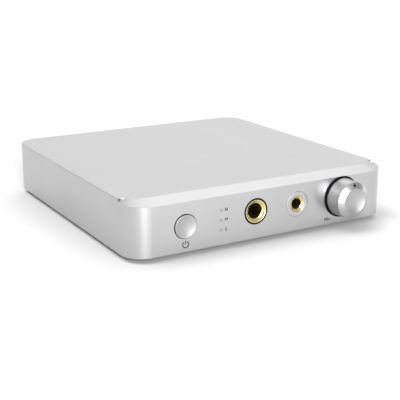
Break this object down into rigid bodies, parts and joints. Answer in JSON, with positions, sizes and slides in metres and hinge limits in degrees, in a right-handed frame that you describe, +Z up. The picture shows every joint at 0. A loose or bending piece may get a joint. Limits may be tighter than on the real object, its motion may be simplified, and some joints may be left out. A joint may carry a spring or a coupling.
{
  "type": "headphone amplifier",
  "caption": "Flat desktop headphone amplifier in a rounded silver aluminium case, with a turning volume knob, a push power button, two headphone sockets and rear line sockets.",
  "frame": {"origin": "on the table, under the middle of the case", "axes": "+X right seen from the front, +Y to the rear, +Z up; the front face looks along -Y"},
  "size_m": [0.119, 0.1396, 0.0233],
  "materials": {
    "shell_aluminium": "bead-blasted and silver anodised",
    "control_aluminium": "turned and silver anodised",
    "black_aluminium": "black anodised",
    "black_screw": "black oxide",
    "foot_rubber": "matt",
    "circuit_board": "green solder mask",
    "nickel_steel": "nickel plated",
    "brass_spacer": "turned",
    "spring_steel": "drawn wire",
    "black_plastic": "moulded, fine texture",
    "index_paint": "filled black dot",
    "white_plastic": "moulded",
    "light_pipe_acrylic": "smoked, unlit",
    "led_lens": "clear yellow lens",
    "gold_plate": "gold plated, polished",
    "track_laminate": "brown phenolic",
    "capacitor_sleeve": "shrunk sleeve",
    "relay_plastic": "moulded",
    "chip_epoxy": "moulded epoxy",
    "ferrite": "sintered ferrite"
  },
  "bodies": {
    "chassis": {"housing": "shell_aluminium", "bottom_cover": "black_aluminium", "cover_screws": "black_screw", "foot_front_left": "foot_rubber", "foot_front_right": "foot_rubber", "foot_rear_left": "foot_rubber", "foot_rear_right": "foot_rubber", "rear_panel": "black_aluminium", "rear_panel_screws": "black_screw", "main_board": "circuit_board", "board_spacers": "brass_spacer", "board_screws": "nickel_steel", "switch_body": "black_plastic", "switch_spring": "spring_steel", "lights_board": "circuit_board", "lights_header": "black_plastic", "light_pipe_low": "light_pipe_acrylic", "light_pipe_medium": "light_pipe_acrylic", "light_pipe_high": "light_pipe_acrylic", "light_led_low": "led_lens", "light_led_medium": "led_lens", "light_led_high": "led_lens", "large_socket_body": "black_plastic", "large_socket_sleeve": "gold_plate", "large_socket_ring": "black_plastic", "large_socket_contacts": "gold_plate", "small_socket_body": "black_plastic", "small_socket_sleeve": "gold_plate", "small_socket_bezel": "control_aluminium", "small_socket_contacts": "gold_plate", "volume_body": "nickel_steel", "volume_bushing": "nickel_steel", "volume_washer": "nickel_steel", "volume_nut": "nickel_steel", "volume_tracks": "track_laminate", "knob_ring": "black_plastic", "balanced_left_body": "black_plastic", "balanced_right_body": "black_plastic", "balanced_nuts": "black_plastic", "line_out_block": "black_plastic", "line_out_left": "gold_plate", "line_out_right": "gold_plate", "line_in_block": "black_plastic", "line_in_left": "gold_plate", "line_in_right": "gold_plate", "phono_cores": "white_plastic", "inlet_body": "black_plastic", "inlet_pin": "nickel_steel", "capacitors": "capacitor_sleeve", "relays": "relay_plastic", "amplifier_chips": "chip_epoxy", "power_coils": "ferrite"},
    "button": {"power_button": "control_aluminium", "switch_plunger": "white_plastic"},
    "knob": {"volume_knob": "control_aluminium", "knob_index": "index_paint", "knob_screw": "black_screw", "volume_shaft": "nickel_steel", "volume_wipers": "white_plastic"}
  },
  "joints": [
    {"name": "power_press", "type": "slide", "parent": "chassis", "child": "button", "axis": [0, 1, 0], "range_m": [0, 0.001], "stiffness_N_per_m": 600, "springref_m": -0.001, "deforming": ["switch_spring"]},
    {"name": "volume_turn", "type": "hinge", "parent": "chassis", "child": "knob", "pos_m": [0.0354, -0.061, 0.0131], "axis": [0, 1, 0], "range_deg": [-150, 150]}
  ]
}
